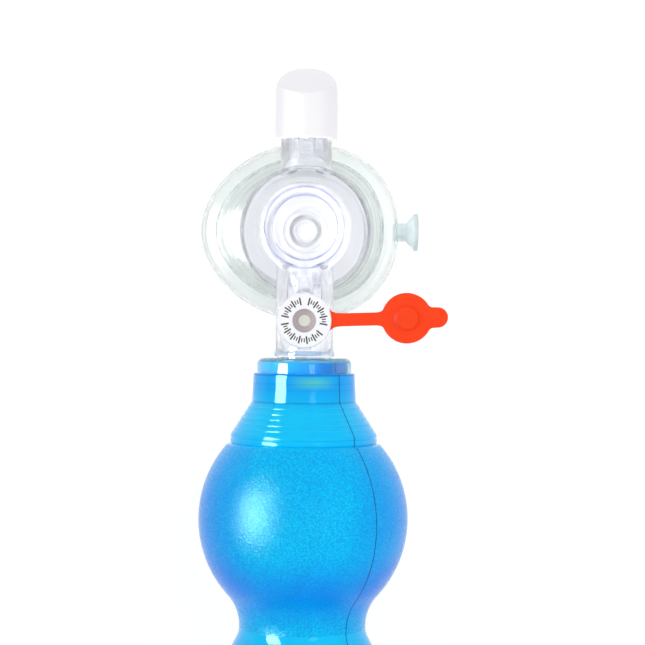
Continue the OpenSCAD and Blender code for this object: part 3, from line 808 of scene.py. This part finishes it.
def build_lip_valve():
    """Diaphragm with ring ribs round its soft mouth."""
    top = lip_high.z / MM
    bottom = lip_low.z / MM
    edge = lip_high.x / MM
    disc_t = 1.1
    profile = [(0, top - 1.0), (4.2, top - 1.0, 0.3), (4.9, top - 0.2, 0.3), (5.6, top - 0.2, 0.3),
               (6.2, top - 2.4, 0.5), (7.2, top - 2.4, 0.5), (7.8, top - 0.1, 0.4),
               (8.8, top - 0.1, 0.4), (9.3, top - 0.7, 0.2), (10.4, top - 0.7, 0.2),
               (10.8, top, 0.3), (11.6, top, 0.3), (12.2, top - 0.6, 0.3), (edge, top - 0.6, 0.3),
               (edge, top - disc_t, 0.2), (9.4, top - disc_t, 0.5), (8.6, top - 3.4, 0.8),
               (3.0, bottom, 0.3), (0, bottom)]
    mesh = lathe_mesh("lip_diaphragm", rounded(profile, steps=4), even_angles(96),
                      upright(VALVE_AXIS))
    new_object("lip_diaphragm", mesh, "lip", ["lip_valve"], [SHADED_LIP_SILICONE])


build_lip_valve()


# ---------- moulded beads on the dome ----------

def build_dome_beads():
    """Two fine raised rings moulded on the dome's roof, in clear plastic tinted darker lavender as painted shade.
    """
    roof = 71.0
    half, sunk = 0.42, 0.12
    for name, radius in (("dome_bead_outer", 19.0), ("dome_bead_inner", 15.3)):
        section = [(radius - half, roof - sunk), (radius + half, roof - sunk)]
        section += arc_points((radius, roof), half, 0, 180, 8)
        mesh = lathe_mesh(name, section, even_angles(120), upright(VALVE_AXIS))
        new_object(name, mesh, "valve", (), [SHADED_BEAD_CLEAR])


build_dome_beads()


# ---------- exhaust hood ----------

def build_hood():
    """The exhaust hood, with its edges softened."""
    voxel = 0.45 * MM
    mesh = remeshed("exhaust_hood", NODES["exhaust_deflector"].data, voxel, 6)
    new_object("exhaust_hood", mesh, "hood", ["exhaust_deflector"],
               [HOOD_WHITE], 180)


build_hood()


# ---------- override cap and strap ----------

def slab(work, outline, low, high):
    """Adds an extruded outline, given as (x, y) in mm, between two heights."""
    bottom = [work.verts.new((x * MM, y * MM, low * MM)) for x, y in outline]
    top = [work.verts.new((x * MM, y * MM, high * MM)) for x, y in outline]
    n = len(outline)
    work.faces.new(bottom[::-1])
    work.faces.new(top)
    for i in range(n):
        work.faces.new((bottom[i], bottom[(i + 1) % n], top[(i + 1) % n], top[i]))


def circle(x, r, count=96):
    """A circle round a point of the strap's own x axis."""
    return [(x + r * math.cos(a), r * math.sin(a)) for a in even_angles(count)]


def strap_axis():
    """Unit vector along the strap, from the relief valve to the cap."""
    hinge = JOINTS["cap_flip"]
    return Vector((-hinge["axis"][1], hinge["axis"][0], 0))


def build_strap():
    """Ring, strap, cap, plug and finger tab as one soft piece."""
    low = strap_low.z / MM
    high = strap_high.z / MM
    direction = strap_axis()
    hinge = Vector(JOINTS["cap_flip"]["pos_m"])
    reach = 2 * (Vector((hinge.x, hinge.y, 0)) - Vector((RELIEF.x, RELIEF.y, 0))).length / MM
    cap_r, plug_r = 11.8, 5.35
    tab_half, strap_half = 4.75, 3.05
    # From the relief valve's axis to the tip of the finger tab
    tab_end = 66.9
    work = bmesh.new()
    root = [(10.9, -5.3), (11.9, -4.9), (12.9, -4.1), (14.4, -3.4), (17, -strap_half)]
    neck = [(reach - 14, -strap_half), (reach - 12, -3.4), (reach - 10.4, -4.6), (reach - 8, -6)]
    lower_edge = root + neck
    slab(work, lower_edge + [(x, -y) for x, y in reversed(lower_edge)], low, high)
    slab(work, circle(reach, cap_r), low, high)
    tab_centre = tab_end - tab_half
    tab = [(reach + 6, -tab_half - 2.4), (reach + 9.8, -tab_half - 1.2),
           (reach + 11.6, -tab_half - 0.1)]
    tab += [(tab_centre + tab_half * math.cos(a), tab_half * math.sin(a))
            for a in (math.radians(-90 + 7.5 * k) for k in range(25))]
    tab += [(x, -y) for x, y in reversed(tab[:3])]
    slab(work, tab, low, high)
    slab(work, circle(reach, plug_r), high - 0.3, cap_high.z / MM)
    mesh = bpy.data.meshes.new("strap_source")
    work.to_mesh(mesh)
    work.free()
    across = Vector((-direction.y, direction.x, 0))
    mesh.transform(Matrix((
        (direction.x, across.x, 0, RELIEF.x), (direction.y, across.y, 0, RELIEF.y),
        (0, 0, 1, 0), (0, 0, 0, 1))))
    voxel = 0.3 * MM
    skin = remeshed("override_strap", mesh, voxel, 5)
    ring = lathe_mesh("strap_ring", rounded([
        (9.6, low, 0.1), (12.3, low, 0.3), (12.3, high, 0.3), (9.6, high, 0.1)]),
        even_angles(96), upright(Vector((RELIEF.x, RELIEF.y, 0))))
    work = bmesh.new()
    work.from_mesh(skin)
    work.from_mesh(ring)
    joined = bpy.data.meshes.new("override_strap")
    work.to_mesh(joined)
    work.free()
    strap = new_object("override_strap", joined, None,
                       ["cap_strap", "override_cap"], [ORANGE], 180)
    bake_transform(strap)


build_strap()


# ---------- printed scale on the relief valve ----------

def build_scale_marks():
    """Plain tick marks round the label plate, in three groups."""
    verts, faces = [], []
    top = label_high.z + 0.02 * MM
    # First and last angle in degrees, and number of marks
    groups = ((-10, 76, 13), (102, 168, 10), (190, 322, 19))
    for first, last, count in groups:
        for i in range(count):
            a = math.radians(first + (last - first) * i / (count - 1))
            long_mark = i % 3 == 0
            inner, outer = (7.3, 10.9) if long_mark else (8.2, 10.1)
            half = 0.36 if long_mark else 0.27
            along = Vector((math.cos(a), math.sin(a), 0))
            side = Vector((-along.y, along.x, 0))
            start = len(verts)
            for level in (-0.06 * MM, 0):
                for r, s in ((inner, -half), (outer, -half), (outer, half), (inner, half)):
                    place = Vector((RELIEF.x, RELIEF.y, top + level))
                    verts.append(place + (along * r + side * s) * MM)
            b = start
            faces += [(b, b + 3, b + 2, b + 1), (b + 4, b + 5, b + 6, b + 7)]
            faces += [(b + k, b + (k + 1) % 4, b + 4 + (k + 1) % 4, b + 4 + k) for k in range(4)]
    mesh = mesh_from("scale_marks", verts, faces)
    new_object("scale_marks", mesh, "valve", (), [PRINT_BLACK])


build_scale_marks()


# ---------- stage, light and camera ----------

def build_floor():
    """A pale light table, bright enough to read as plain white, below the pulled-off mask."""
    half = 6.0
    corners = [(-half, -half, 0), (half, -half, 0), (half, half, 0), (-half, half, 0)]
    mesh = mesh_from("floor", corners, [(0, 1, 2, 3)])
    floor = bpy.data.objects.new("floor", mesh)
    clearance = 0.1 * MM
    floor.location.z = FLOOR_Z - JOINTS["mask_pull"]["range_m"][1] - clearance
    bpy.context.scene.collection.objects.link(floor)
    made = Finish("floor_white", (0.15, 0.15, 0.15), 0.7, Emission_Color=(1, 1, 1, 1),
                  Emission_Strength=0.88, Specular_IOR_Level=0.0)
    mesh.materials.append(made.material)


def build_world():
    """Pale studio: white overhead, a dimmer lavender grey towards the horizon."""
    horizon, overhead = (0.58, 0.61, 0.90, 1), (0.98, 0.98, 0.98, 1)
    overhead_from = 0.55
    world = bpy.data.worlds.new("studio")
    bpy.context.scene.world = world
    world.use_nodes = True
    tree = world.node_tree
    tree.nodes.clear()
    out = tree.nodes.new("ShaderNodeOutputWorld")
    back = tree.nodes.new("ShaderNodeBackground")
    ramp = tree.nodes.new("ShaderNodeValToRGB")
    axes = tree.nodes.new("ShaderNodeSeparateXYZ")
    coords = tree.nodes.new("ShaderNodeTexCoord")
    ramp.color_ramp.elements[0].position = 0.0
    ramp.color_ramp.elements[0].color = horizon
    ramp.color_ramp.elements[1].position = overhead_from
    ramp.color_ramp.elements[1].color = overhead
    back.inputs["Strength"].default_value = 1.0
    tree.links.new(coords.outputs["Generated"], axes.inputs[0])
    tree.links.new(axes.outputs["Z"], ramp.inputs[0])
    tree.links.new(ramp.outputs[0], back.inputs["Color"])
    tree.links.new(back.outputs[0], out.inputs["Surface"])


def area_light(name, target, direction, distance, size, power):
    """A softbox at a distance along a direction from its target, facing it."""
    light = bpy.data.lights.new(name, "AREA")
    light.shape = "RECTANGLE"
    light.size, light.size_y = size
    light.energy = power
    obj = bpy.data.objects.new(name, light)
    way = Vector(direction).normalized()
    obj.location = Vector(target) + way * distance
    obj.rotation_mode = "QUATERNION"
    obj.rotation_quaternion = way.to_track_quat("Z", "Y")
    bpy.context.scene.collection.objects.link(obj)
    return obj


def build_lights():
    """A glossy key light from the left, its soft fill, and a small light from above right.
    The key light shows in reflections and doesn't light matt or clear surfaces."""
    target = (0, LOBE_Y * MM, BAG_Z)
    left = math.radians(53)
    way = (-math.sin(left), 0.1, math.cos(left))
    size = (0.74, 0.44)
    gloss = area_light("key_softbox", target, way, 1.0, size, 42.0)
    gloss.visible_diffuse = False
    gloss.visible_transmission = False
    area_light("key_fill", target, way, 1.0, size, 2.2)
    right = math.radians(20)
    area_light("top_softbox", target, (math.sin(right), 0.05, math.cos(right)), 1.4,
               (0.4, 0.3), 1.2)


def build_camera():
    """Straight down, between the valve and the bag, with the place and height in mm."""
    aim = (8.5, -44.3)
    height = 850
    roll = math.radians(0.44)
    camera = bpy.data.cameras.new("camera")
    camera.sensor_width = 36
    camera.lens = 100.2
    camera.clip_end = 50
    obj = bpy.data.objects.new("camera", camera)
    obj.location = (aim[0] * MM, aim[1] * MM, BAG_Z + height * MM)
    obj.rotation_euler = (0, 0, roll)
    bpy.context.scene.collection.objects.link(obj)
    bpy.context.scene.camera = obj


LIGHT_BOUNCES = 24

build_floor()
build_world()
build_lights()
build_camera()
bpy.context.scene.view_settings.view_transform = "Standard"
bpy.context.scene.cycles.max_bounces = LIGHT_BOUNCES
bpy.context.scene.cycles.transmission_bounces = LIGHT_BOUNCES
bpy.context.scene.cycles.transparent_max_bounces = LIGHT_BOUNCES
